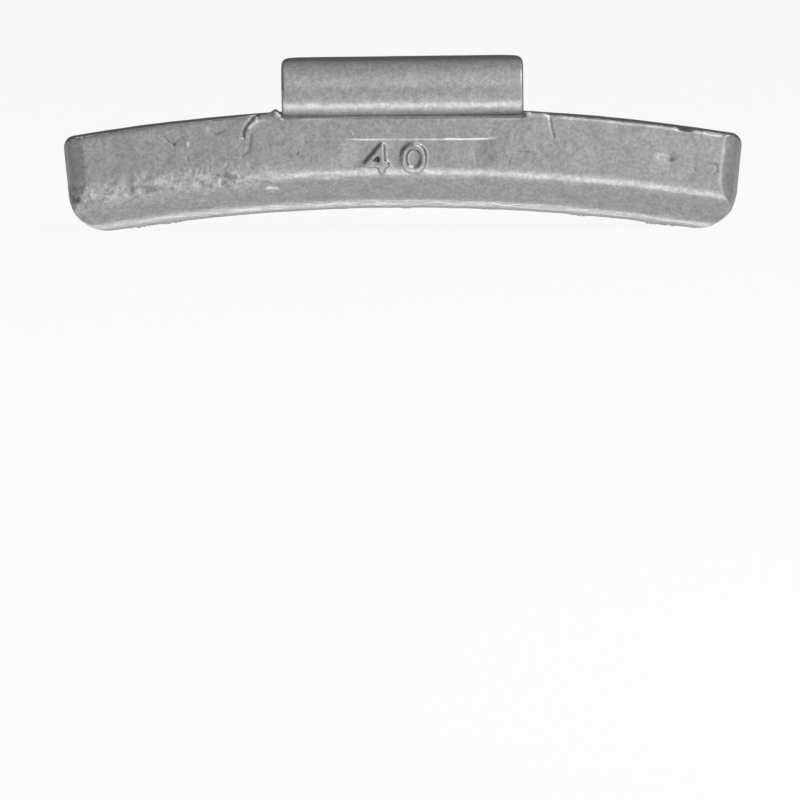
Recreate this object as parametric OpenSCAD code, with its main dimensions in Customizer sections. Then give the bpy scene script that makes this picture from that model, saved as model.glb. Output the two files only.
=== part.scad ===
// Clip-on wheel balance weight: a curved casting with a strip-steel clip cast into it.
// It stands on the two feet of its arched underside, with its flat back towards +Y.

/* [Casting] */
// Radius of the curved seat, measured from the wheel's axis
seat_r = 216; // [190:1:260]
// Length along the seat
cast_len = 72; // [58:0.2:90]
// Height from the seat to the underside, measured towards the axis
cast_h = 10.6; // [9.5:0.1:13]
// Depth from the flat back to the front face
cast_t = 8.8; // [8.4:0.1:11]
// Round of the upper back edge, which clears the root of the rim's flange
back_round = 4.1; // [2:0.1:5]
// Round of the upper front edge
top_round = 0.5; // [0.2:0.1:0.9]
// Height of the bevel along the lower front edge
bevel_h = 4.2; // [3.6:0.1:4.8]
// Depth of the bevel along the lower front edge
bevel_t = 3.7; // [2.8:0.1:4.2]
// Round of the ridge between the front face and the bevel
ridge_round = 3.4; // [1:0.1:4]
// Round between the bevel and the underside
foot_round = 4.6; // [2:0.1:5]
// Round of the lower back edge
heel_round = 0.4; // [0.2:0.1:0.8]

/* [Ends of the casting] */
// Lean of the two ends from the upright, in degrees
end_lean = 6; // [3:0.5:9]
// Round of the two upper corners in the front view
end_top_round = 1.4; // [0.5:0.05:2]
// Round of the two lower corners in the front view
end_foot_round = 4.5; // [3:0.1:5.2]
// Depth of the tapered part of each end, from the front face
taper_t = 6; // [4:0.1:7]
// How far each end tapers inwards at the front face
taper_in = 0.6; // [0.3:0.1:1]
// Round of the upright front edges of the ends
taper_round = 1.9; // [1:0.1:2.4]

/* [Panel and number] */
// Width of the sunk panel on the front face
panel_w = 16.8; // [14:0.2:24]
// Offset of the panel's middle from the middle of the casting
panel_x = 1.6; // [-4:0.1:4]
// Distance from the crown of the seat down to the panel's upper edge
panel_top = 3.1; // [2.4:0.1:3.6]
// Depth of the panel
panel_t = 0.12; // [0.08:0.02:0.3]
// Height of the raised digits
digit_h = 3.1; // [2.7:0.1:3.6]
// Width of a digit
digit_w = 2.6; // [2:0.1:3.2]
// Width of a digit's strokes
digit_stroke = 0.55; // [0.4:0.05:0.7]
// Space between the two digits
digit_gap = 1.3; // [0.8:0.1:2]
// Offset of the number's middle from the middle of the casting
digit_x = -0.8; // [-2:0.1:3]
// Place of the four's upright, as a share of the digit's width
four_post = 0.72; // [0.6:0.02:0.8]
// Place of the four's crossbar, as a share of the digit's height
four_bar = 0.3; // [0.2:0.02:0.4]
// Distance from the panel's upper edge down to the digits
digit_drop = 0.5; // [0.2:0.05:0.6]
// How far the digits stand out of the panel
digit_rise = 0.3; // [0.15:0.05:0.5]

/* [Clip] */
// Width of the steel strip
clip_w = 25.4; // [20:0.2:32]
// Thickness of the steel strip
clip_t = 1; // [0.8:0.05:1.3]
// Height of the free gap between the crown of the seat and the lip
flange_gap = 4.35; // [3.6:0.05:5]
// How far the bend stands out of the front face
clip_proud = 0.63; // [0.4:0.01:0.9]
// Distance from the plane of the back to the lip's free end
lip_back = 0.1; // [0.05:0.05:1.5]
// Round of the lip's two free corners, seen from above
lip_round = 2.5; // [1:0.1:4]
// Round of the lip's two long upper edges, seen from the front
lip_edge_round = 0.7; // [0.3:0.05:0.78]
// Angle below the horizontal at which the strip turns into the casting
wrap = 50; // [42:1:58]
// Height of the small bevel under the clip, where the strip enters the front face
notch_h = 0.43; // [0.2:0.01:0.8]
// Metal in front of the strip's tail
tail_cover = 2.5; // [2.1:0.1:2.9]
// Metal under the strip's tail
tail_under = 3; // [2.5:0.1:3.5]

/* [Anchor holes in the tail] */
// Number of holes
anchor_n = 3; // [1:1:4]
// Bore of a hole, which the cast metal fills
anchor_d = 2.4; // [1.6:0.1:2.8]
// Distance between the holes
anchor_pitch = 7.6; // [4.5:0.1:8]
// Height of the holes above the tail's lower end
anchor_up = 1.9; // [1.7:0.1:2.4]
// Clearance between the steel and the cast metal
cast_gap = 0.02; // [0.01:0.01:0.05]

/* [Hidden] */
$fn = 96;
// Fineness of the preview along the large curve
seat_fn = 720;
// How far a cutter reaches past what it cuts
over = 1;
// How much longer the bar is at each end, in degrees, before the ends are trimmed
spare_angle = 1;
// How far neighbouring lengths of the strip run into each other, in degrees
lap_angle = 0.02;
// How far a round reaches past the faces that it joins, as a share of its radius
touch = 0.0002;
// The same for the corners of the ends, where the rounds of the section run into them
ease = 0.003;
// Number of flats along the round of a trimmed corner in the front view
corner_flats = 12;
coat = [0.66, 0.665, 0.67];
steel = [0.64, 0.645, 0.65];

// Radius of the underside, half the angle that the seat spans, and the distance of the end's plane,
// all from the wheel's axis
foot_r = seat_r - cast_h;
half_angle = cast_len / seat_r / 2 * 180 / PI;
end_x = seat_r * sin(half_angle - end_lean);

// Centres of the corner rounds, inwards from the end's plane and upwards from the wheel's axis
top_in = end_top_round * (1 - ease);
top_up = sqrt(pow(seat_r - top_in, 2) - pow(end_x - top_in, 2));
foot_in = end_foot_round * (1 - ease);
foot_up = sqrt(pow(foot_r + foot_in, 2) - pow(end_x - foot_in, 2));

// The lowest points are on the lower corner rounds, so the part stands on them
floor_z = foot_up * cos(end_lean) - (end_x - foot_in) * sin(end_lean) - end_foot_round;
back_y = (cast_t + clip_proud) / 2;

// Places in the side view of the clip: depth from the back, and height from the crown of the seat
clip_sink = seat_r - sqrt(pow(seat_r, 2) - pow(clip_w / 2, 2));
bend_r = (flange_gap + clip_sink + clip_t) / 2;
bend_at = [cast_t + clip_proud - bend_r - clip_t / 2, flange_gap + clip_t / 2 - bend_r];
tail_d = cast_t - tail_cover - clip_t / 2;
back_bend_r = (bend_at[0] + bend_r * cos(wrap) - tail_d) / (1 - cos(wrap));
back_bend_at = bend_at + (bend_r + back_bend_r) * [cos(wrap), -sin(wrap)];
tail_end = tail_under - cast_h;
notch_at = bend_at + (bend_r + clip_t / 2) * [cos(wrap), -sin(wrap)];

function unit(v) = v / norm(v);

// Points along an arc
function flats(centre, r, from, to) =
  [for (i = [0 : corner_flats]) let (a = from + (to - from) * i / corner_flats) centre + r * [cos(a), sin(a)]];

// What is cut from the corner b of the path a, b, c to give it the radius r
module corner_cut(a, b, c, r, reach = touch) {
  u = unit(a - b);
  v = unit(c - b);
  inward = unit(u + v);
  half = acos(u * v) / 2;
  centre = b + inward * r * (1 - reach) / sin(half);
  difference() {
    polygon([b + u * r / tan(half), b - inward * over, b + v * r / tan(half), centre]);
    translate(centre) circle(r);
  }
}

// A convex outline with a radius of its own at each corner
module rounded(points, radii) {
  n = len(points);
  difference() {
    polygon(points);
    for (i = [0 : n - 1])
      corner_cut(points[(i + n - 1) % n], points[i], points[(i + 1) % n], radii[i]);
  }
}

// Stands a side view, drawn as depth and height, across the part's width
module across(width) {
  rotate([90, 0, -90]) linear_extrude(width, center = true) children();
}

// Runs a front view, drawn as width and height, from one depth to another
module from_front(near, far) {
  translate([0, -near, 0]) rotate([90, 0, 0]) linear_extrude(far - near) children();
}

// Puts what is drawn from the wheel's axis into the part's own frame
module from_axis() {
  translate([0, back_y, -floor_z]) children();
}

// Puts what is drawn from the crown of the seat into the part's own frame
module from_crown() {
  translate([0, back_y, seat_r - floor_z]) children();
}

// The casting's section, drawn as height from the seat and depth, with its front and bevel moved out
// by a margin
module cast_section(grow = 0) {
  slope = atan(bevel_t / bevel_h);
  ridge = [bevel_h - cast_h - grow * tan(slope / 2), cast_t + grow];
  foot = [-cast_h, cast_t - bevel_t] + grow * [-sin(slope), cos(slope)];
  rounded(
    [[0, 0], [0, cast_t + grow], ridge, foot, [foot[0], 0]],
    [back_round, top_round, ridge_round + grow, foot_round + grow, heel_round]
  );
}

// The curved bar over an angle, with its front and bevel moved out by a margin
module bar(sweep, grow = 0) {
  rotate([90, 0, 0])
    rotate_extrude(angle = sweep, start = 90 - sweep / 2, $fn = seat_fn)
      translate([seat_r, 0]) cast_section(grow);
}

// Waste outside the front view of the right end, in the frame of its plane
module end_front_waste() {
  polygon(concat(
    flats([-top_in, top_up], end_top_round, 0, atan2(top_up, end_x - top_in)),
    [[-top_in, seat_r + over], [over, seat_r + over], [over, top_up]]
  ));
  polygon(concat(
    flats([-foot_in, foot_up], end_foot_round, 0, atan2(-foot_up, foot_in - end_x)),
    [[-foot_in, foot_r - over], [over, foot_r - over], [over, foot_up]]
  ));
}

// Waste outside the plan of the right end, drawn as distance from its plane and depth
module end_plan_waste() {
  start = [0, cast_t - taper_t];
  edge = [-taper_in, cast_t];
  inner = [-taper_in - cast_len / 4, cast_t];
  waste_w = seat_r * tan(spare_angle) + over;
  polygon([start, edge, edge + [0, over], [waste_w, cast_t + over], [waste_w, -over], [0, -over]]);
  corner_cut(start, edge, inner, taper_round, ease);
}

// Trims the right end
module end_waste() {
  rotate([0, end_lean, 0]) translate([end_x, 0, 0]) {
    from_front(-2 * over, cast_t + 2 * over) end_front_waste();
    translate([0, 0, foot_r - 2 * over])
      mirror([0, 1, 0])
        linear_extrude(cast_h + 4 * over)
          end_plan_waste();
  }
}

// A sector of a ring, from one angle to another
module ring_sector(radius, thick, from, to) {
  reach = 2 * (radius + thick);
  steps = [from, (from + to) / 2, to];
  intersection() {
    difference() {
      circle(radius + thick / 2);
      circle(radius - thick / 2);
    }
    polygon(concat([[0, 0]], [for (a = steps) reach * [cos(a), sin(a)]]));
  }
}

// The strip's side view: lip, bend, reverse bend and tail, grown by a margin
module strip_section(grow) {
  thick = clip_t + 2 * grow;
  lip_l = bend_at[0] - lip_back;
  tail_l = back_bend_at[1] - tail_end + grow;
  translate(bend_at) {
    translate([-lip_l, bend_r - thick / 2]) square([lip_l, thick]);
    ring_sector(bend_r, thick, -wrap - lap_angle, 90 + lap_angle);
  }
  translate(back_bend_at) {
    ring_sector(back_bend_r, thick, 180 - wrap, 180 + lap_angle);
    translate([-back_bend_r - thick / 2, -tail_l]) square([thick, tail_l]);
  }
}

// The strip with its anchor holes, grown by a margin
module strip(grow) {
  difference() {
    across(clip_w + 2 * grow) strip_section(grow);
    for (i = [0 : anchor_n - 1])
      translate([(i - (anchor_n - 1) / 2) * anchor_pitch, -tail_d, tail_end + anchor_up])
        rotate([90, 0, 0])
          cylinder(d = anchor_d - 2 * grow, h = clip_t + 2 * over, center = true);
  }
}

// The notch over the small bevel where the strip enters the front face
module notch() {
  middle = bend_at + bend_r * [cos(wrap), -sin(wrap)];
  upper = bend_at + bend_r * [cos(wrap / 2), -sin(wrap / 2)];
  edge = [cast_t, notch_at[1] - notch_h];
  beyond = edge + unit(edge - notch_at) * over;
  across(clip_w + 2 * cast_gap)
    polygon([middle, notch_at, beyond, [beyond[0], upper[1]], upper]);
}

// The sunk panel on the front face
module panel() {
  translate([panel_x - panel_w / 2, -cast_t - over, -cast_h - over])
    cube([panel_w, over + panel_t, cast_h + over - panel_top]);
}

// A bar with round ends from one point to another
module stroke(from, to) {
  way = to - from;
  translate(from) {
    circle(d = digit_stroke);
    rotate(atan2(way[1], way[0]))
      translate([0, -digit_stroke / 2])
        square([norm(way), digit_stroke]);
  }
  translate(to) circle(d = digit_stroke);
}

// The digit four, inside a box of the digits' width and height
module four() {
  in = digit_stroke / 2;
  post = digit_w * four_post;
  crossbar = digit_h * four_bar;
  stroke([post, in], [post, digit_h - in]);
  stroke([in, crossbar], [digit_w - in, crossbar]);
  stroke([in, crossbar], [post, digit_h - in]);
}

// The digit nought, inside the same box
module nought() {
  difference() {
    slot(digit_w / 2, 0);
    slot(digit_w / 2, digit_stroke);
  }
}

// An upright slot with round ends that fills the digits' box, less a margin
module slot(radius, margin) {
  for (up = [radius, digit_h - radius])
    translate([radius, up]) circle(radius - margin);
  translate([margin, radius]) square([2 * (radius - margin), digit_h - 2 * radius]);
}

// The raised number, which gives the mass in grams and follows the ridge at its foot
module number() {
  number_w = 2 * digit_w + digit_gap;
  intersection() {
    from_crown() from_front(cast_t - over, cast_t + over)
      translate([digit_x - number_w / 2, -panel_top - digit_drop - digit_h]) {
        four();
        translate([digit_w + digit_gap, 0]) nought();
      }
    from_axis() bar(half_angle, digit_rise - panel_t);
  }
}

// The casting, with the room that the strip's tail takes up
module cast_body() {
  color(coat) {
    difference() {
      from_axis() {
        difference() {
          bar(2 * (half_angle + spare_angle));
          end_waste();
          mirror([1, 0, 0]) end_waste();
        }
      }
      from_crown() {
        strip(cast_gap);
        notch();
        panel();
      }
    }
    number();
  }
}

// Waste at one free corner of the lip, seen from above and from the front
module lip_waste() {
  lip_up = bend_at[1] + bend_r;
  edge = clip_w / 2;
  lip_top = lip_up + clip_t / 2;
  translate([0, 0, lip_up - clip_t])
    mirror([0, 1, 0])
      linear_extrude(2 * clip_t)
        corner_cut([0, lip_back], [edge, lip_back], [edge, lip_back + 2 * lip_round], lip_round);
  from_front(-over, cast_t + clip_proud + over)
    corner_cut([0, lip_top], [edge, lip_top], [edge, 0], lip_edge_round);
}

// The clip: a lip that hooks over the rim's flange, a bend, and a tail held in the casting
module spring_clip() {
  color(steel) from_crown() difference() {
    strip(0);
    lip_waste();
    mirror([1, 0, 0]) lip_waste();
  }
}

cast_body();
spring_clip();
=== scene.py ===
"""Clip-on wheel balance weight: a silver-coated casting with a strip-steel clip cast into it."""

import math

import bmesh
import bpy
import numpy as np
from mathutils import Matrix, Vector


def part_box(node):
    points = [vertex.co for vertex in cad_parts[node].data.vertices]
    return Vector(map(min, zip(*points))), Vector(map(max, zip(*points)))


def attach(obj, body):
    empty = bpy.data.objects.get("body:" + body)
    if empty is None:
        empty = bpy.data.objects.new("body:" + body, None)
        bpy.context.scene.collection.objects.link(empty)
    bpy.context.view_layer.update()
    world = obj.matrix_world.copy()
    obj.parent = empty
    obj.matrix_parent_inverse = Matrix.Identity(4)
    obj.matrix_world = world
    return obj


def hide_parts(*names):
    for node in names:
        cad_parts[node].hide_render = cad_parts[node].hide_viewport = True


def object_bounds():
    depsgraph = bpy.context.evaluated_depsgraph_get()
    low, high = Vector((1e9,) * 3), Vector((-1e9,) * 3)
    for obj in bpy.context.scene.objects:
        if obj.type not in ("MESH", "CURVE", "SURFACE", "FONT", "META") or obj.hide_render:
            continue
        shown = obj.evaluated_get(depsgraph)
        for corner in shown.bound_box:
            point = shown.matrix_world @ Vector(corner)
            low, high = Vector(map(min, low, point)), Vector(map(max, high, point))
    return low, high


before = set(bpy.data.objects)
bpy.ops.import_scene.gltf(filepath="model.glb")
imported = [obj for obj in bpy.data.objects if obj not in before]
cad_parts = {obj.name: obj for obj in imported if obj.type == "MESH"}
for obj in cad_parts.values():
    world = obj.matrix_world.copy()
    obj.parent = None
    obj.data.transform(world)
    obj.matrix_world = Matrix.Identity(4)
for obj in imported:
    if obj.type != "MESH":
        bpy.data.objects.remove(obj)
CAD_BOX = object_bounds()

# Lengths are in millimetres in the names below, and MM turns them into metres
MM = 0.001

# The casting, as in the part's source
SEAT_R = 216
CAST_H = 10.6
CAST_T = 8.8
BEVEL_H = 4.2
BEVEL_T = 3.7
RIDGE_ROUND = 3.4
PANEL_W = 16.8
PANEL_X = 1.6
PANEL_TOP = 3.1
PANEL_T = 0.12
CROWN_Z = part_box("cast_body")[1].z / MM
BACK_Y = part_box("cast_body")[1].y / MM
FRONT_Y = BACK_Y - CAST_T

# The clip, as in the part's source
CLIP_W = 25.4
CLIP_T = 1
CLIP_PROUD = 0.63
FLANGE_GAP = 4.35
LIP_BACK = 0.1
LIP_ROUND = 2.5
LIP_EDGE_ROUND = 0.7
WRAP = math.radians(50)
TAIL_COVER = 2.5
TAIL_UNDER = 3
CLIP_SINK = SEAT_R - math.sqrt(SEAT_R ** 2 - (CLIP_W / 2) ** 2)
BEND_R = (FLANGE_GAP + CLIP_SINK + CLIP_T) / 2
BEND_D = CAST_T + CLIP_PROUD - BEND_R - CLIP_T / 2
BEND_H = FLANGE_GAP + CLIP_T / 2 - BEND_R
TAIL_D = CAST_T - TAIL_COVER - CLIP_T / 2

# The real clip sits slightly askew in the casting, with its right side up
CLIP_TILT = math.radians(0.45)
STRIP_EDGE_ROUND = 0.22

# Fineness of the two meshes
CAST_VOXEL = 0.11
CAST_FACES = 190000
STRIP_STEP = 0.13


class Tree:
    """Makes and wires the nodes of one node tree, with a node and its inputs in one call."""

    def __init__(self, tree):
        self.tree = tree
        self.column = 0

    def add(self, kind, inputs=None, **settings):
        node = self.tree.nodes.new(kind)
        node.location = (self.column * 180, -(self.column % 3) * 220)
        self.column += 1
        for name, value in settings.items():
            setattr(node, name, value)
        for name, value in (inputs or {}).items():
            self.feed(node.inputs[name], value)
        return node

    def feed(self, socket, value):
        if isinstance(value, bpy.types.Node):
            value = value.outputs[0]
        if isinstance(value, bpy.types.NodeSocket):
            self.tree.links.new(value, socket)
        else:
            socket.default_value = value

    def math(self, operation, a, b=0.0, c=0.0):
        node = self.add("ShaderNodeMath", operation=operation)
        for socket, value in zip(node.inputs, (a, b, c)):
            self.feed(socket, value)
        return node.outputs[0]

    def vector(self, operation, a, b=None, scale=None):
        node = self.add("ShaderNodeVectorMath", operation=operation)
        self.feed(node.inputs[0], a)
        if b is not None:
            self.feed(node.inputs[1], b)
        if scale is not None:
            self.feed(node.inputs["Scale"], scale)
        return node.outputs["Value" if operation in ("LENGTH", "DOT_PRODUCT") else "Vector"]

    def ramp(self, value, low, high, to_low=0.0, to_high=1.0):
        """A value that goes smoothly from one level to another between two limits."""
        node = self.add("ShaderNodeMapRange", interpolation_type="SMOOTHSTEP")
        for name, level in (("Value", value), ("From Min", low), ("From Max", high),
                            ("To Min", to_low), ("To Max", to_high)):
            self.feed(node.inputs[name], level)
        return node.outputs[0]

    def noise(self, vector, scale, detail=2.0, roughness=0.5, w=0.0):
        node = self.add("ShaderNodeTexNoise", noise_dimensions="4D")
        for name, value in (("Vector", vector), ("Scale", scale), ("Detail", detail),
                            ("Roughness", roughness), ("W", w)):
            self.feed(node.inputs[name], value)
        return node.outputs[0]


def new_group(name, kind, inputs, outputs):
    """A node group with named sockets, each given as its name, type and value."""
    group = bpy.data.node_groups.new(name, kind)
    for label, socket_type, value in inputs:
        socket = group.interface.new_socket(label, in_out="INPUT", socket_type=socket_type)
        if value is not None:
            socket.default_value = value
    for label, socket_type in outputs:
        group.interface.new_socket(label, in_out="OUTPUT", socket_type=socket_type)
    tree = Tree(group)
    return tree, tree.add("NodeGroupInput").outputs, tree.add("NodeGroupOutput").inputs


FLOAT = "NodeSocketFloat"
GEOMETRY = "NodeSocketGeometry"
VECTOR = "NodeSocketVector"


def skin_group():
    """Moves a surface in and out: long waves, the coat's orange peel and scattered pits."""
    tree, given, result = new_group("cast skin", "GeometryNodeTree", [
        ("Geometry", GEOMETRY, None),
        ("Wave height", FLOAT, 0.04),
        ("Wave size", FLOAT, 6.0),
        ("Peel height", FLOAT, 0.012),
        ("Peel size", FLOAT, 0.6),
        ("Pit depth", FLOAT, 0.05),
        ("Pit size", FLOAT, 0.9),
        ("Pit share", FLOAT, 0.3),
        ("Seed", FLOAT, 1.0),
    ], [("Geometry", GEOMETRY)])
    place = tree.vector("SCALE", tree.add("GeometryNodeInputPosition"), scale=1 / MM)
    heights = []
    for label, detail, shift in (("Wave", 1.0, 0.0), ("Peel", 2.0, 7.0)):
        pattern = tree.noise(place, tree.math("DIVIDE", 1.0, given[label + " size"]), detail,
                             w=tree.math("ADD", given["Seed"], shift))
        level = tree.math("MULTIPLY", tree.math("SUBTRACT", pattern, 0.5), 2.0)
        heights.append(tree.math("MULTIPLY", level, given[label + " height"]))
    pits = tree.noise(place, tree.math("DIVIDE", 1.0, given["Pit size"]), 1.0,
                      w=tree.math("ADD", given["Seed"], 13.0))
    pit = tree.ramp(pits, given["Pit share"], 0.1)
    heights.append(tree.math("MULTIPLY", tree.math("MULTIPLY", pit, -1.0), given["Pit depth"]))
    height = tree.math("ADD", tree.math("ADD", heights[0], heights[1]), heights[2])
    offset = tree.vector("SCALE", tree.add("GeometryNodeInputNormal"),
                         scale=tree.math("MULTIPLY", height, MM))
    moved = tree.add("GeometryNodeSetPosition", {"Geometry": given["Geometry"], "Offset": offset})
    tree.feed(result["Geometry"], moved)
    return tree.tree


SKIN = skin_group()


def skinned(tree, geometry, sizes):
    """Places the skin group in another tree, with its own sizes."""
    node = tree.add("GeometryNodeGroup", node_tree=SKIN)
    tree.feed(node.inputs["Geometry"], geometry)
    for name, value in sizes.items():
        tree.feed(node.inputs[name], value)
    return node.outputs["Geometry"]


def run_tree(name, group, values, start=None):
    """The plain mesh that a Geometry Nodes tree makes, with the tree's inputs set by name."""
    mesh = start or bpy.data.meshes.new(name)
    holder = bpy.data.objects.new(name, mesh)
    bpy.context.scene.collection.objects.link(holder)
    modifier = holder.modifiers.new("nodes", "NODES")
    modifier.node_group = group
    for item in group.interface.items_tree:
        if item.item_type == "SOCKET" and item.in_out == "INPUT" and item.name in values:
            modifier[item.identifier] = values[item.name]
    bpy.context.view_layer.update()
    shaped = holder.evaluated_get(bpy.context.evaluated_depsgraph_get())
    plain = bpy.data.meshes.new_from_object(shaped)
    bpy.data.objects.remove(holder)
    return plain


def object_of(name, mesh):
    piece = bpy.data.objects.new(name, mesh)
    bpy.context.scene.collection.objects.link(piece)
    return piece


def with_modifier(name, mesh, kind, **settings):
    """The mesh after one modifier."""
    piece = object_of(name, mesh)
    modifier = piece.modifiers.new(kind, kind)
    for key, value in settings.items():
        setattr(modifier, key, value)
    shaped = piece.evaluated_get(bpy.context.evaluated_depsgraph_get())
    plain = bpy.data.meshes.new_from_object(shaped)
    bpy.data.objects.remove(piece)
    return plain


def merged_copy(node):
    """A copy of a CAD node's mesh with its loose triangles joined."""
    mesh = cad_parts[node].data.copy()
    work = bmesh.new()
    work.from_mesh(mesh)
    bmesh.ops.remove_doubles(work, verts=work.verts, dist=0.0005 * MM)
    work.to_mesh(mesh)
    work.free()
    return mesh


def points_of(mesh):
    co = np.empty(len(mesh.vertices) * 3, np.float32)
    mesh.vertices.foreach_get("co", co)
    return co.reshape(-1, 3).astype(float) / MM


def set_points(mesh, co):
    mesh.vertices.foreach_set("co", (co * MM).astype(np.float32).ravel())
    mesh.update()


def normals_of(mesh):
    no = np.empty(len(mesh.vertices) * 3, np.float32)
    mesh.vertex_normals.foreach_get("vector", no)
    return no.reshape(-1, 3).astype(float)


def near_path(co, path, width):
    """1 on a path across the front, falling to 0 at about twice the width from it."""
    flat = co[:, [0, 2]] - (0, CROWN_Z)
    best = np.full(len(co), 1e9)
    for a, b in zip(path, path[1:]):
        a, b = np.array(a, float), np.array(b, float)
        way = b - a
        share = np.clip((flat - a) @ way / (way @ way), 0, 1)
        gap = flat - a - share[:, None] * way
        best = np.minimum(best, (gap ** 2).sum(1))
    return np.exp(-best / width ** 2)


# Marks on the front, by name: depth (below zero for a raised one), width, how dark it is (below zero for a
# bright one, a painted highlight), and its path, given as distances from the middle and heights from the
# crown of the seat
MARKS = {
    "crack": (0.20, 0.10, 0.9, ((-15.3, -0.5), (-15.8, -0.95), (-16.3, -1.5), (-16.7, -2.2), (-16.7, -2.85))),
    # A painted highlight on the crack's raised lip
    "crack_lip": (-0.06, 0.22, -1.0, ((-16.2, -1.8), (-15.9, -1.5), (-15.4, -1.25))),
    "crack_tail": (0.02, 0.22, 0.51, ((-15.9, -2.6), (-16.0, -3.5), (-16.15, -4.3), (-16.8, -4.8))),
    "split": (0.04, 0.13, 0.45, ((15.45, -0.65), (15.6, -1.8), (15.9, -2.95))),
    "clip_slit": (0.08, 0.09, 0.7, ((12.75, -0.1), (12.8, -0.85))),
    # A painted highlight on the slit's raised lip
    "slit_lip": (-0.04, 0.14, -0.9, ((12.95, -0.45), (13.3, -0.45))),
    # A painted highlight: a bright line along the casting's top edge just under the clip
    "seat_edge_highlight": (0.0, 0.11, -0.7, ((-10.5, -1.0), (-5.0, -0.85), (0.0, -0.8), (6.0, -0.85), (12.0, -1.05))),
    # Painted highlights: bright lines along the sunk panel's upper edge
    "panel_edge_left_highlight": (0.0, 0.12, -0.5, ((-6.0, -3.05), (-4.2, -3.15), (-2.4, -3.1))),
    "panel_edge_right_highlight": (0.0, 0.13, -0.75, ((4.4, -3.1), (6.8, -3.15), (9.8, -3.05))),
    # A dent, with a painted highlight along its upper edge and painted shade at its foot
    "dent": (0.08, 0.42, 0.1, ((27.0, -5.1), (28.0, -5.2))),
    "dent_glint": (0.0, 0.22, -0.8, ((26.9, -4.85), (27.9, -5.0))),
    "dent_foot_shade": (0.0, 0.17, 0.5, ((27.9, -5.5), (28.7, -5.35))),
    "top_nick": (0.05, 0.25, 0.6, ((29.1, -2.15), (30.2, -2.35))),
    "scratch_a": (0.02, 0.16, 0.34, ((7.6, -4.5), (7.75, -5.5))),
    "scratch_b": (0.03, 0.13, 0.51, ((11.3, -5.2), (11.1, -5.9))),
    "scuff_a": (0.02, 0.15, 0.51, ((12.3, -4.4), (13.3, -4.5))),
    "scuff_b": (0.02, 0.30, 0.34, ((14.2, -4.1), (15.0, -4.9))),
    "ring": (0.02, 0.14, 0.51, ((32.1, -5.8), (32.9, -5.9), (33.1, -6.5), (32.6, -6.9))),
    "ring_tick": (0.02, 0.13, 0.51, ((30.7, -6.2), (30.7, -6.6))),
    "left_scuff_a": (0.02, 0.16, 0.51, ((-25.0, -2.7), (-24.5, -3.3), (-24.0, -3.6))),
    "left_scuff_b": (0.02, 0.16, 0.42, ((-24.0, -3.6), (-23.6, -3.1), (-23.1, -2.8))),
    "left_glint": (-0.03, 0.13, -0.8, ((-22.65, -3.3), (-22.6, -3.7))),
    "left_tick": (0.03, 0.13, 0.5, ((-22.6, -5.0), (-22.6, -5.25))),
    "crescent": (0.04, 0.20, 0.45, ((-20.3, -2.1), (-19.6, -2.45), (-18.9, -2.15))),
    "tick_a": (0.03, 0.14, 0.68, ((-11.0, -4.4), (-11.05, -4.65))),
    "tick_b": (0.02, 0.14, 0.51, ((-10.2, -3.1), (-10.2, -3.35))),
    "tick_c": (0.02, 0.14, 0.51, ((-14.1, -3.5), (-13.9, -3.7))),
    "ridge_glint_a": (-0.05, 0.13, -1.0, ((-19.2, -7.3), (-19.2, -7.9))),
    "ridge_glint_b": (-0.05, 0.15, -0.9, ((-14.4, -8.3), (-13.8, -8.25), (-13.1, -8.3))),
    "mitre_left": (0.02, 0.35, 0.25, ((-34.0, -9.5), (-33.1, -10.5), (-32.3, -11.4))),
    "mitre_right": (0.02, 0.35, 0.25, ((33.6, -9.9), (32.7, -10.7), (31.8, -11.3))),
}

# Lumps on the upper and lower edges, by name: distance from the middle, depth behind the front, the two
# widths, how far it stands out (below zero for a hollow), and how dark it is
TOP_LUMPS = {
    "bead": (-13.35, 0.6, 0.45, 0.7, 0.50, 0.2),
    "bead_tail": (-14.2, 0.4, 0.5, 0.6, 0.14, 0.1),
    "flat_top": (-15.9, 0.6, 0.9, 1.0, 0.12, 0.0),
    "crack_mouth": (-15.1, 0.2, 0.2, 0.6, -0.10, 0.7),
    "shoulder_a": (13.3, 0.6, 0.75, 1.2, 0.13, 0.0),
    "shoulder_b": (14.7, 0.6, 0.6, 1.2, 0.15, 0.0),
    "shoulder_step": (15.9, 0.4, 0.3, 0.9, -0.10, 0.3),
    "right_nick": (29.6, 0.2, 0.7, 0.6, -0.06, 0.6),
}
FOOT_LUMPS = {
    "flash_a": (-27.3, 5.7, 1.3, 0.9, 0.20, 0.1),
    "flash_b": (-24.4, 5.7, 1.0, 0.9, 0.22, 0.5),
    "flash_c": (-6.5, 5.7, 0.7, 0.9, 0.09, 0.4),
    "flash_d": (0.3, 5.7, 0.6, 0.9, 0.14, 0.6),
    "flash_e": (9.3, 5.7, 0.9, 0.9, 0.12, 0.3),
    "flash_f": (18.5, 5.7, 0.8, 0.9, 0.22, 0.8),
    "flash_g": (25.9, 5.7, 0.9, 0.9, 0.22, 0.5),
    "flash_h": (27.8, 5.7, 1.0, 0.9, 0.16, 0.7),
}


def near_lump(co, lump):
    x, behind, wide, deep = lump[:4]
    return np.exp(-((co[:, 0] - x) / wide) ** 2 - ((co[:, 1] - FRONT_Y - behind) / deep) ** 2)


def ragged(x):
    """A broken edge's ups and downs along the bar, from 0 to 1."""
    return 0.5 + 0.5 * np.sin(4.3 * x + 2 * np.sin(1.9 * x)) * np.sin(7.1 * x + 1)


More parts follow.
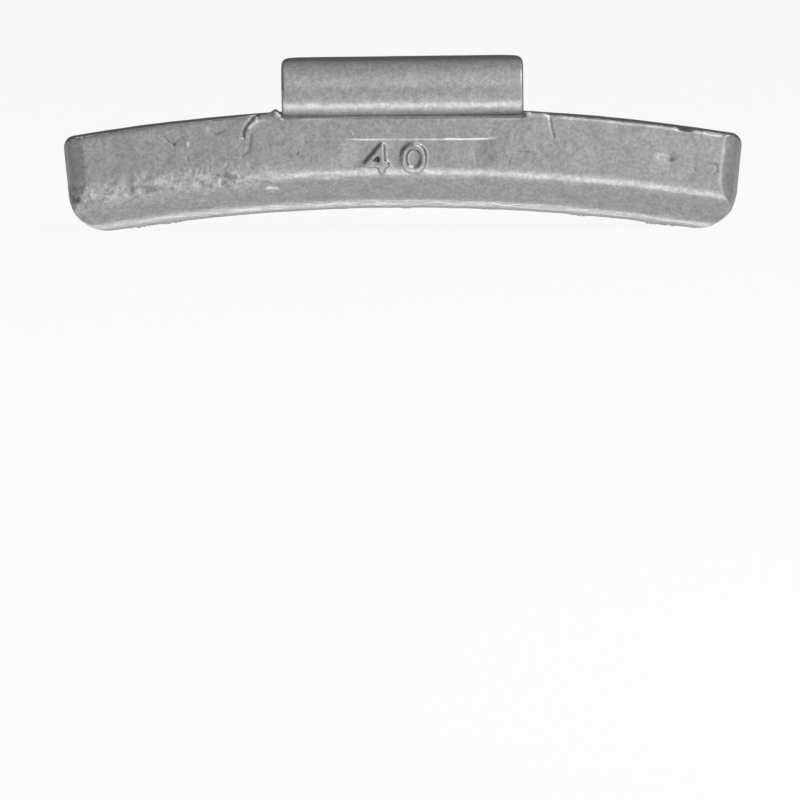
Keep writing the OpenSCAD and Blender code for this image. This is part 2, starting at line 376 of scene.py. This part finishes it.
def press_marks(mesh):
    """Presses the marks and lumps into the casting, and gives how dark they are at each point."""
    co, no = points_of(mesh), normals_of(mesh)
    forward = np.clip(-2 * no[:, 1], 0, 1)
    upward, downward = np.clip(2 * no[:, 2], 0, 1), np.clip(-2 * no[:, 2], 0, 1)
    tone = np.zeros(len(co))
    move = np.zeros_like(co)
    for depth, width, dark, path in MARKS.values():
        near = near_path(co, path, width) * forward
        move -= no * (depth * near)[:, None]
        tone += dark * near
    for lump in TOP_LUMPS.values():
        near = near_lump(co, lump) * upward
        move[:, 2] += lump[4] * near
        tone += lump[5] * near
    for lump in FOOT_LUMPS.values():
        near = near_lump(co, lump) * downward * ragged(co[:, 0])
        move[:, 2] -= lump[4] * near
        tone += lump[5] * near
    set_points(mesh, co + move)
    store(mesh, "tone", np.clip(tone, -1, 1))


def fade_panel_sides(mesh, reach=2.4, past=0.4):
    """Lets the sunk panel run out softly at its two sides, as on the face of the real part, softened by wear.
    """
    co, no = points_of(mesh), normals_of(mesh)
    inside = PANEL_W / 2 - np.abs(co[:, 0] - PANEL_X)
    full = np.clip(inside / reach, 0, 1)
    full = full * full * (3 - 2 * full)
    # The face without its panel, flat down to where the round of the ridge begins
    from_axis = np.hypot(co[:, 0], co[:, 2] - CROWN_Z + SEAT_R)
    bevel_turn = math.atan2(BEVEL_T, BEVEL_H)
    round_start = SEAT_R - CAST_H + BEVEL_H + RIDGE_ROUND * math.tan(bevel_turn / 2)
    below = np.clip(round_start - from_axis, 0, RIDGE_ROUND)
    face_y = FRONT_Y + RIDGE_ROUND - np.sqrt(RIDGE_ROUND ** 2 - below ** 2)
    faded = (inside > -past) & (inside < reach) & (no[:, 1] < -0.3) & (below < 1.3)
    faded &= (co[:, 1] < FRONT_Y + 0.6) & (co[:, 2] < CROWN_Z - PANEL_TOP + past)
    co[:, 1] = np.where(faded, np.minimum(co[:, 1], face_y + PANEL_T * full), co[:, 1])
    set_points(mesh, co)


def kept_in_box(mesh):
    """Brings every point inside the CAD model's box."""
    low, high = (np.array(c) / MM for c in CAD_BOX)
    set_points(mesh, np.clip(points_of(mesh), low, high))


def smooth_shaded(mesh):
    mesh.polygons.foreach_set("use_smooth", np.ones(len(mesh.polygons), bool))
    mesh.update()
    return mesh


def store(mesh, name, values):
    layer = mesh.attributes.new(name, "FLOAT", "POINT")
    layer.data.foreach_set("value", values.astype(np.float32))


def hollowness(mesh, rounds=3):
    """How far each point lies below (above zero) or above the mean of those around it."""
    co, no = points_of(mesh), normals_of(mesh)
    edges = np.empty(len(mesh.edges) * 2, np.int32)
    mesh.edges.foreach_get("vertices", edges)
    a, b = edges.reshape(-1, 2).T
    count = np.bincount(a, minlength=len(co)) + np.bincount(b, minlength=len(co))
    count = np.maximum(count, 1)

    def around(values):
        return (np.bincount(a, values[b], len(co)) + np.bincount(b, values[a], len(co))) / count

    gap = np.stack([around(co[:, i]) - co[:, i] for i in range(3)], 1)
    bend = (gap * no).sum(1)
    length = np.linalg.norm(co[a] - co[b], axis=1)
    mean_edge = (np.bincount(a, length, len(co)) + np.bincount(b, length, len(co))) / count
    bend = bend / np.maximum(mean_edge, 0.02) ** 2
    for _ in range(rounds):
        bend = (bend + around(bend)) / 2
    return bend


def cast_skin_tree():
    """The casting's surface: the skin group all over, and a mottled band at the ridge's height on
    the left. The band goes by height alone, so the flat back has it too."""
    tree, given, result = new_group("casting surface", "GeometryNodeTree", [
        ("Geometry", GEOMETRY, None),
        ("Wave height", FLOAT, 0.05),
        ("Peel height", FLOAT, 0.011),
        ("Pit depth", FLOAT, 0.05),
        ("Mottle height", FLOAT, 0.07),
        ("Mottle size", FLOAT, 0.9),
        ("Mottle start", FLOAT, -10.0),
        ("Mottle full", FLOAT, -19.0),
        ("Ridge radius", FLOAT, SEAT_R - CAST_H + BEVEL_H),
        ("Ridge width", FLOAT, 2.2),
        ("Material", "NodeSocketMaterial", None),
    ], [("Geometry", GEOMETRY)])
    moved = skinned(tree, given["Geometry"], {
        "Wave height": given["Wave height"], "Wave size": 5.0,
        "Peel height": given["Peel height"], "Peel size": 0.6,
        "Pit depth": given["Pit depth"], "Pit size": 0.8, "Pit share": 0.3, "Seed": 4.0,
    })
    place = tree.vector("SCALE", tree.add("GeometryNodeInputPosition"), scale=1 / MM)
    parts = tree.add("ShaderNodeSeparateXYZ", {"Vector": place})
    from_axis = tree.add("ShaderNodeCombineXYZ", {
        "X": parts.outputs["X"], "Z": tree.math("ADD", parts.outputs["Z"], SEAT_R - CROWN_Z)})
    radius = tree.vector("LENGTH", from_axis)
    off_ridge = tree.math("ABSOLUTE", tree.math("SUBTRACT", radius, given["Ridge radius"]))
    on_ridge = tree.ramp(off_ridge, given["Ridge width"], 0.3)
    on_left = tree.ramp(parts.outputs["X"], given["Mottle start"], given["Mottle full"])
    pattern = tree.noise(place, tree.math("DIVIDE", 1.0, given["Mottle size"]), 3.0, 0.6, 21.0)
    level = tree.ramp(pattern, 0.36, 0.64, -1.0, 1.0)
    mottled_share = tree.math("MULTIPLY", on_ridge, on_left)
    uneven = tree.math("MULTIPLY", level, mottled_share)
    height = tree.math("MULTIPLY", uneven, given["Mottle height"])
    offset = tree.vector("SCALE", tree.add("GeometryNodeInputNormal"),
                         scale=tree.math("MULTIPLY", height, MM))
    marked = tree.add("GeometryNodeSetPosition", {"Geometry": moved, "Offset": offset})
    for name, value in (("uneven", uneven), ("dull", mottled_share)):
        marked = tree.add("GeometryNodeStoreNamedAttribute", {
            "Geometry": marked, "Name": name, "Value": value})
    real = tree.add("GeometryNodeRealizeInstances", {"Geometry": marked})
    done = tree.add("GeometryNodeSetMaterial", {"Geometry": real, "Material": given["Material"]})
    tree.feed(result["Geometry"], done)
    return tree.tree


def casting(material):
    mesh = merged_copy("cast_body")
    mesh = with_modifier("casting", mesh, "REMESH", mode="VOXEL", voxel_size=CAST_VOXEL * MM)
    mesh = with_modifier("casting", mesh, "SMOOTH", factor=0.5, iterations=3)
    fade_panel_sides(mesh)
    mesh = run_tree("casting", cast_skin_tree(), {"Material": material}, mesh)
    press_marks(mesh)
    mesh = with_modifier("casting", mesh, "DECIMATE", ratio=min(1, CAST_FACES / (2 * len(mesh.polygons))))
    kept_in_box(mesh)
    store(mesh, "hollow", hollowness(mesh))
    piece = object_of("weight_casting", smooth_shaded(mesh))
    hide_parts("cast_body")
    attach(piece, "root")
    return piece


def strip_tree():
    """The clip: a flat strip swept along a lip, a bend, a reverse bend and a tail."""
    tree, given, result = new_group("bent strip", "GeometryNodeTree", [
        ("Width", FLOAT, CLIP_W),
        ("Thickness", FLOAT, CLIP_T),
        ("Edge round", FLOAT, STRIP_EDGE_ROUND),
        ("Lip end", FLOAT, LIP_BACK),
        ("Bend depth", FLOAT, BEND_D),
        ("Bend height", FLOAT, BEND_H),
        ("Bend radius", FLOAT, BEND_R),
        ("Wrap", FLOAT, WRAP),
        ("Tail depth", FLOAT, TAIL_D),
        ("Tail end", FLOAT, TAIL_UNDER - CAST_H),
        ("Lip corner", FLOAT, LIP_ROUND),
        ("Upper edge", FLOAT, LIP_EDGE_ROUND),
        ("Tilt", FLOAT, CLIP_TILT),
        ("Step", FLOAT, STRIP_STEP),
        ("Material", "NodeSocketMaterial", None),
    ], [("Geometry", GEOMETRY)])
    bend_d, bend_h, bend_r, wrap = (given[n] for n in ("Bend depth", "Bend height", "Bend radius", "Wrap"))
    turn_cos, turn_sin = tree.math("COSINE", wrap), tree.math("SINE", wrap)
    run = tree.math("SUBTRACT", tree.math("MULTIPLY_ADD", bend_r, turn_cos, bend_d), given["Tail depth"])
    back_r = tree.math("DIVIDE", run, tree.math("SUBTRACT", 1.0, turn_cos))
    both = tree.math("ADD", bend_r, back_r)
    back_d = tree.math("MULTIPLY_ADD", both, turn_cos, bend_d)
    back_h = tree.math("SUBTRACT", bend_h, tree.math("MULTIPLY", both, turn_sin))
    top = tree.math("ADD", bend_h, bend_r)

    def point(d, h):
        return tree.add("ShaderNodeCombineXYZ", {"X": d, "Y": h})

    def line(start, end, step):
        curve = tree.add("GeometryNodeCurvePrimitiveLine", {"Start": start, "End": end})
        return tree.add("GeometryNodeResampleCurve", {"Curve": curve, "Length": step}, mode="LENGTH")

    def arc(radius, start, sweep, d, h, steps):
        curve = tree.add("GeometryNodeCurveArc", {
            "Resolution": steps, "Radius": radius, "Start Angle": start, "Sweep Angle": sweep})
        return tree.add("GeometryNodeTransform", {"Geometry": curve, "Translation": point(d, h)})

    quarter = math.pi / 2
    lip = line(point(given["Lip end"], top), point(bend_d, top), given["Step"])
    bend_sweep = tree.math("MULTIPLY", tree.math("ADD", wrap, quarter), -1.0)
    bend = arc(bend_r, quarter, bend_sweep, bend_d, bend_h, 52)
    back = arc(back_r, math.pi, tree.math("MULTIPLY", wrap, -1.0), back_d, back_h, 16)
    tail = line(point(given["Tail depth"], back_h), point(given["Tail depth"], given["Tail end"]), 0.5)
    parts = tree.add("GeometryNodeJoinGeometry")
    for part in (lip, bend, back, tail):
        tree.tree.links.new(part.outputs[0], parts.inputs[0])
    wires = tree.add("GeometryNodeCurveToMesh", {"Curve": parts})
    joined = tree.add("GeometryNodeMergeByDistance", {"Geometry": wires, "Distance": 0.02})
    path = tree.add("GeometryNodeMeshToCurve", {"Mesh": joined})
    # Depth and height become the part's own -Y and +Z, from the crown of the seat
    stand = Matrix(((0, 0, -1), (-1, 0, 0), (0, 1, 0))).to_euler()
    placed = tree.add("GeometryNodeTransform", {
        "Geometry": path, "Rotation": stand, "Translation": (0, BACK_Y, CROWN_Z)})
    outline = tree.add("GeometryNodeCurvePrimitiveQuadrilateral", {
        "Width": given["Width"], "Height": given["Thickness"]})
    softened = tree.add("GeometryNodeFilletCurve", {
        "Curve": outline, "Count": 6, "Radius": given["Edge round"]}, mode="POLY")
    fine = tree.add("GeometryNodeResampleCurve", {"Curve": softened, "Length": given["Step"]}, mode="LENGTH")
    strip = tree.add("GeometryNodeCurveToMesh", {"Curve": placed, "Profile Curve": fine, "Fill Caps": True})
    place = tree.add("ShaderNodeSeparateXYZ", {"Vector": tree.add("GeometryNodeInputPosition")})
    half = tree.math("MULTIPLY", given["Width"], 0.5)

    def quarter_round(past, radius):
        """Height lost on a quarter circle, at a distance past its start."""
        past = tree.math("MINIMUM", tree.math("MAXIMUM", past, 0.0), radius)
        rest = tree.math("SUBTRACT", tree.math("MULTIPLY", radius, radius), tree.math("MULTIPLY", past, past))
        return tree.math("SUBTRACT", radius, tree.math("SQRT", tree.math("MAXIMUM", rest, 0.0)))

    corner = given["Lip corner"]
    end_y = tree.math("SUBTRACT", BACK_Y, given["Lip end"])
    past_end = tree.math("ADD", tree.math("SUBTRACT", place.outputs["Y"], end_y), corner)
    lost = quarter_round(past_end, corner)
    narrower = tree.math("DIVIDE", tree.math("SUBTRACT", half, lost), half)
    edge = given["Upper edge"]
    past_edge = tree.math("ADD", tree.math("SUBTRACT", tree.math("ABSOLUTE", place.outputs["X"]), half), edge)
    roof = tree.math("ADD", CROWN_Z, tree.math("MULTIPLY_ADD", given["Thickness"], 0.5, top))
    roof = tree.math("SUBTRACT", roof, quarter_round(past_edge, edge))
    trimmed = tree.add("ShaderNodeCombineXYZ", {
        "X": tree.math("MULTIPLY", place.outputs["X"], narrower),
        "Y": place.outputs["Y"],
        "Z": tree.math("MINIMUM", place.outputs["Z"], roof)})
    trim = tree.add("GeometryNodeSetPosition", {"Geometry": strip, "Position": trimmed})
    # Tilted about its own middle, and lowered so that the higher side stays at its height
    turn = tree.add("ShaderNodeCombineXYZ", {"Y": tree.math("MULTIPLY", given["Tilt"], -1.0)})
    shift = tree.add("ShaderNodeCombineXYZ", {
        "X": tree.math("MULTIPLY", tree.math("SINE", given["Tilt"]), CROWN_Z + FLANGE_GAP / 2),
        "Z": tree.math("MULTIPLY", tree.math("MULTIPLY", tree.math("SINE", given["Tilt"]), half), -1.0)})
    tilted = tree.add("GeometryNodeTransform", {"Geometry": trim, "Rotation": turn, "Translation": shift})
    metres = tree.add("GeometryNodeTransform", {"Geometry": tilted, "Scale": (MM, MM, MM)})
    moved = skinned(tree, metres, {
        "Wave height": 0.02, "Wave size": 5.0, "Peel height": 0.008, "Peel size": 0.5,
        "Pit depth": 0.03, "Pit size": 0.8, "Pit share": 0.27, "Seed": 31.0,
    })
    real = tree.add("GeometryNodeRealizeInstances", {"Geometry": moved})
    done = tree.add("GeometryNodeSetMaterial", {"Geometry": real, "Material": given["Material"]})
    tree.feed(result["Geometry"], done)
    return tree.tree


def outward(mesh):
    work = bmesh.new()
    work.from_mesh(mesh)
    bmesh.ops.remove_doubles(work, verts=work.verts, dist=0.0005 * MM)
    bmesh.ops.triangulate(work, faces=[f for f in work.faces if len(f.verts) > 4])
    bmesh.ops.recalc_face_normals(work, faces=work.faces)
    work.to_mesh(mesh)
    work.free()
    return mesh


def clip(material):
    mesh = outward(run_tree("clip", strip_tree(), {"Material": material}))
    kept_in_box(mesh)
    store(mesh, "hollow", hollowness(mesh))
    for name in ("tone", "uneven", "dull"):
        store(mesh, name, np.zeros(len(mesh.vertices)))
    piece = object_of("steel_clip", smooth_shaded(mesh))
    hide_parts("spring_clip")
    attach(piece, "root")
    return piece


def grain_group():
    """The coat's metal flakes and its mottling: levels for the colour, and a height."""
    tree, given, result = new_group("coat grain", "ShaderNodeTree", [
        ("Vector", VECTOR, None),
        ("Flake size", FLOAT, 0.16),
        ("Mottle size", FLOAT, 1.1),
        ("Seed", FLOAT, 0.0),
    ], [("Flakes", FLOAT), ("Mottle", FLOAT), ("Height", FLOAT)])
    place = tree.vector("SCALE", given["Vector"], scale=1 / MM)
    fine = tree.noise(place, tree.math("DIVIDE", 1.0, given["Flake size"]), 2.0, 0.6,
                      tree.math("ADD", given["Seed"], 3.0))
    coarse = tree.noise(place, tree.math("DIVIDE", 0.4, given["Flake size"]), 2.0, 0.6,
                        tree.math("ADD", given["Seed"], 8.0))
    cloud = tree.noise(place, tree.math("DIVIDE", 1.0, given["Mottle size"]), 4.0, 0.62,
                       tree.math("ADD", given["Seed"], 15.0))
    mixed = tree.math("MULTIPLY_ADD", coarse, 0.5, tree.math("MULTIPLY", fine, 0.5))
    tree.feed(result["Flakes"], tree.ramp(mixed, 0.32, 0.68))
    tree.feed(result["Mottle"], tree.ramp(cloud, 0.3, 0.7))
    tree.feed(result["Height"], mixed)
    return tree.tree


GRAIN = grain_group()
# Colours painted over the coat: painted shade with dirt for hollows and dark marks, and a pale grey for
# painted highlights
SHADE_AND_DIRT = (0.045, 0.044, 0.042)
HIGHLIGHT_GREY = (0.80, 0.80, 0.80)


def shaded(colour, share):
    return tuple(channel * share for channel in colour) + (1,)


def coat_material(name, colour, seed):
    """Silver paint with flakes over the metal, with painted shade and dirt in cracks and hollows, and painted
    highlights on glints and bright edges.
    """
    material = bpy.data.materials.new(name)
    material.use_nodes = True
    material.node_tree.nodes.clear()
    tree = Tree(material.node_tree)
    place = tree.add("ShaderNodeTexCoord").outputs["Object"]
    grain = tree.add("ShaderNodeGroup", node_tree=GRAIN)
    tree.feed(grain.inputs["Vector"], place)
    tree.feed(grain.inputs["Seed"], seed)
    flakes, mottle, height = grain.outputs

    def mix(share, a, b):
        return tree.add("ShaderNodeMix", {"Factor": share, 6: a, 7: b}, data_type="RGBA").outputs[2]

    dull = mix(flakes, shaded(colour, 0.72), shaded(colour, 1.10))
    clear = mix(flakes, shaded(colour, 0.86), shaded(colour, 1.42))
    coat = mix(mottle, dull, clear)
    hollow = tree.add("ShaderNodeAttribute", attribute_name="hollow").outputs["Fac"]
    tone = tree.add("ShaderNodeAttribute", attribute_name="tone").outputs["Fac"]
    uneven = tree.add("ShaderNodeAttribute", attribute_name="uneven").outputs["Fac"]
    dull_share = tree.add("ShaderNodeAttribute", attribute_name="dull").outputs["Fac"]
    # The left ridge's mottle: painted highlights on its bumps and painted shade in its hollows
    tone = tree.math("SUBTRACT", tone, tree.math("MULTIPLY", uneven, 0.55))
    # Painted shade with dirt: the hollow points and the dark marks go towards the dark colour
    dark = tree.math("MAXIMUM", tree.ramp(hollow, 0.3, 1.4), tree.ramp(tone, 0.05, 1.0))
    # Painted highlights: the bright marks and the mottle's bumps go towards the pale grey
    painted_highlight = tree.ramp(tree.math("MULTIPLY", tone, -1.0), 0.1, 1.0)
    with_shade_and_dirt = mix(tree.math("MULTIPLY", dark, 0.85), coat, SHADE_AND_DIRT + (1,))
    finish = mix(tree.math("MULTIPLY", painted_highlight, 0.8), with_shade_and_dirt, HIGHLIGHT_GREY + (1,))
    bump = tree.add("ShaderNodeBump", {"Height": height, "Strength": 0.3, "Distance": 0.012 * MM})
    roughness = tree.math("MULTIPLY_ADD", dull_share, 0.22, tree.ramp(mottle, 0.0, 1.0, 0.37, 0.33))
    shader = tree.add("ShaderNodeBsdfPrincipled", {
        "Base Color": finish, "Metallic": 0.7, "Roughness": roughness, "Normal": bump})
    tree.add("ShaderNodeOutputMaterial", {"Surface": shader})
    return material


def floor_piece():
    """A white sheet. Metal near it mirrors its full white, and a little further off its plain lit colour."""
    mesh = bpy.data.meshes.new("floor")
    reach = 3.0
    mesh.from_pydata([(-reach, -reach, 0), (reach, -reach, 0), (reach, reach, 0), (-reach, reach, 0)], [],
                     [(0, 1, 2, 3)])
    floor = object_of("floor", mesh)
    floor.visible_shadow = False
    material = bpy.data.materials.new("white_table")
    material.use_nodes = True
    material.node_tree.nodes.clear()
    tree = Tree(material.node_tree)
    rays = tree.add("ShaderNodeLightPath").outputs
    away = tree.vector("LENGTH", tree.add("ShaderNodeTexCoord").outputs["Object"])
    near = tree.ramp(away, FLOOR_GLOW[0], FLOOR_GLOW[1], FLOOR_MIRRORED, 0.0)
    bounced = tree.math("MAXIMUM", rays["Is Glossy Ray"], rays["Is Transmission Ray"])
    mirrored = tree.math("MULTIPLY", bounced, near)
    seen = tree.math("MAXIMUM", rays["Is Camera Ray"], mirrored)
    lit = tree.add("ShaderNodeBsdfDiffuse", {"Color": (0.85, 0.85, 0.85, 1)})
    white = tree.add("ShaderNodeEmission", {"Color": (1, 1, 1, 1), "Strength": 1.0})
    mixed = tree.add("ShaderNodeMixShader", {0: tree.math("MULTIPLY", seen, FLOOR_WHITE), 1: lit, 2: white})
    tree.add("ShaderNodeOutputMaterial", {"Surface": mixed})
    floor.data.materials.append(material)


# How white the floor looks, how much of that the metal mirrors, and how far away that starts and ends to fade
FLOOR_WHITE = 0.92
FLOOR_MIRRORED = 0.3
FLOOR_GLOW = (0.03, 0.12)

LAMP_AWAY = 0.9
LIT_AT = Vector((0, 0, 0.009))


def lamp(name, rise, turn, tall, wide, radiance):
    """A soft rectangular lamp. It is seen from the part at a rise above the level and a turn to
    the right of the front, both in degrees, and it looks so many degrees tall and wide. One below
    the level shines through the floor."""
    rise, turn = math.radians(rise), math.radians(turn)
    way = Vector((math.sin(turn) * math.cos(rise), -math.cos(turn) * math.cos(rise), math.sin(rise)))
    light = bpy.data.lights.new(name, "AREA")
    light.shape = "RECTANGLE"
    light.size = 2 * LAMP_AWAY * math.tan(math.radians(wide / 2))
    light.size_y = 2 * LAMP_AWAY * math.tan(math.radians(tall / 2))
    light.energy = radiance * math.pi * light.size * light.size_y
    # The floor hides a lamp below it from mirrored rays, so each lamp's light all comes by direct rays
    light.cycles.use_multiple_importance_sampling = False
    lamp_object = bpy.data.objects.new(name, light)
    bpy.context.scene.collection.objects.link(lamp_object)
    lamp_object.location = LIT_AT + way * LAMP_AWAY
    lamp_object.rotation_euler = (-way).to_track_quat("-Z", "Y").to_euler()
    lamp_object.visible_camera = False


LAMPS = (
    # name, rise, turn, height, width, radiance
    ("edge_line", -59, 3, 4, 22, 6.0),
    ("edge_strip", -50, 0, 8, 64, 3.2),
    ("under_glow", -122, 0, 24, 64, 1.8),
    ("front_low", -24, 20, 24, 24, 0.6),
    ("front", 0, 18, 24, 24, 1.6),
    ("front_raised", 24, 17, 24, 24, 3.2),
    ("key", 48, 36, 24, 24, 4.9),
    ("fill", 48, 12, 24, 24, 0.6),
    ("side", 0, 60, 24, 24, 0.15),
    ("right_top", 64, 70, 30, 40, 0.9),
    ("overhead", 80, 0, 24, 70, 0.5),
    ("back_top", 112, 0, 32, 70, 0.42),
)
WORLD = 0.025


def lights():
    for settings in LAMPS:
        lamp(*settings)
    world = bpy.data.worlds.new("studio")
    world.use_nodes = True
    background = world.node_tree.nodes["Background"]
    background.inputs["Color"].default_value = (1, 1, 1, 1)
    background.inputs["Strength"].default_value = WORLD
    bpy.context.scene.world = world


# The photograph's frame: millimetres per pixel, the picture's size and where the crown of the seat is in it
PIXEL = 0.105
PICTURE = 800
CROWN_AT = (402.5, 109.5)
CAMERA_RISE = math.radians(3.5)
CAMERA_ROLL = math.radians(0.25)
CAMERA_AWAY = 2000


def camera():
    """A long lens from the front and a little above, with the crown of the seat in its place."""
    data = bpy.data.cameras.new("camera")
    data.sensor_width = 36
    data.lens = data.sensor_width * CAMERA_AWAY / (PIXEL * PICTURE)
    data.clip_start, data.clip_end = 0.05, 50
    camera_object = bpy.data.objects.new("camera", data)
    bpy.context.scene.collection.objects.link(camera_object)
    towards = Vector((0, math.cos(CAMERA_RISE), -math.sin(CAMERA_RISE)))
    level = Vector((1, 0, 0))
    upright = Matrix((level, level.cross(towards), -towards)).transposed()
    turned = upright @ Matrix.Rotation(-CAMERA_ROLL, 3, "Z")
    right, up = turned.col[0], turned.col[1]
    crown = Vector((0, FRONT_Y, CROWN_Z))
    aim = crown - right * (CROWN_AT[0] - PICTURE / 2) * PIXEL + up * (CROWN_AT[1] - PICTURE / 2) * PIXEL
    camera_object.matrix_world = Matrix.Translation((aim - towards * CAMERA_AWAY) * MM) @ turned.to_4x4()
    bpy.context.scene.camera = camera_object


cast_coat = coat_material("cast_coat", (0.40, 0.40, 0.405), 0.0)
clip_coat = coat_material("clip_coat", (0.41, 0.41, 0.41), 40.0)
casting(cast_coat)
clip(clip_coat)
floor_piece()
lights()
camera()
bpy.context.scene.view_settings.view_transform = "Standard"
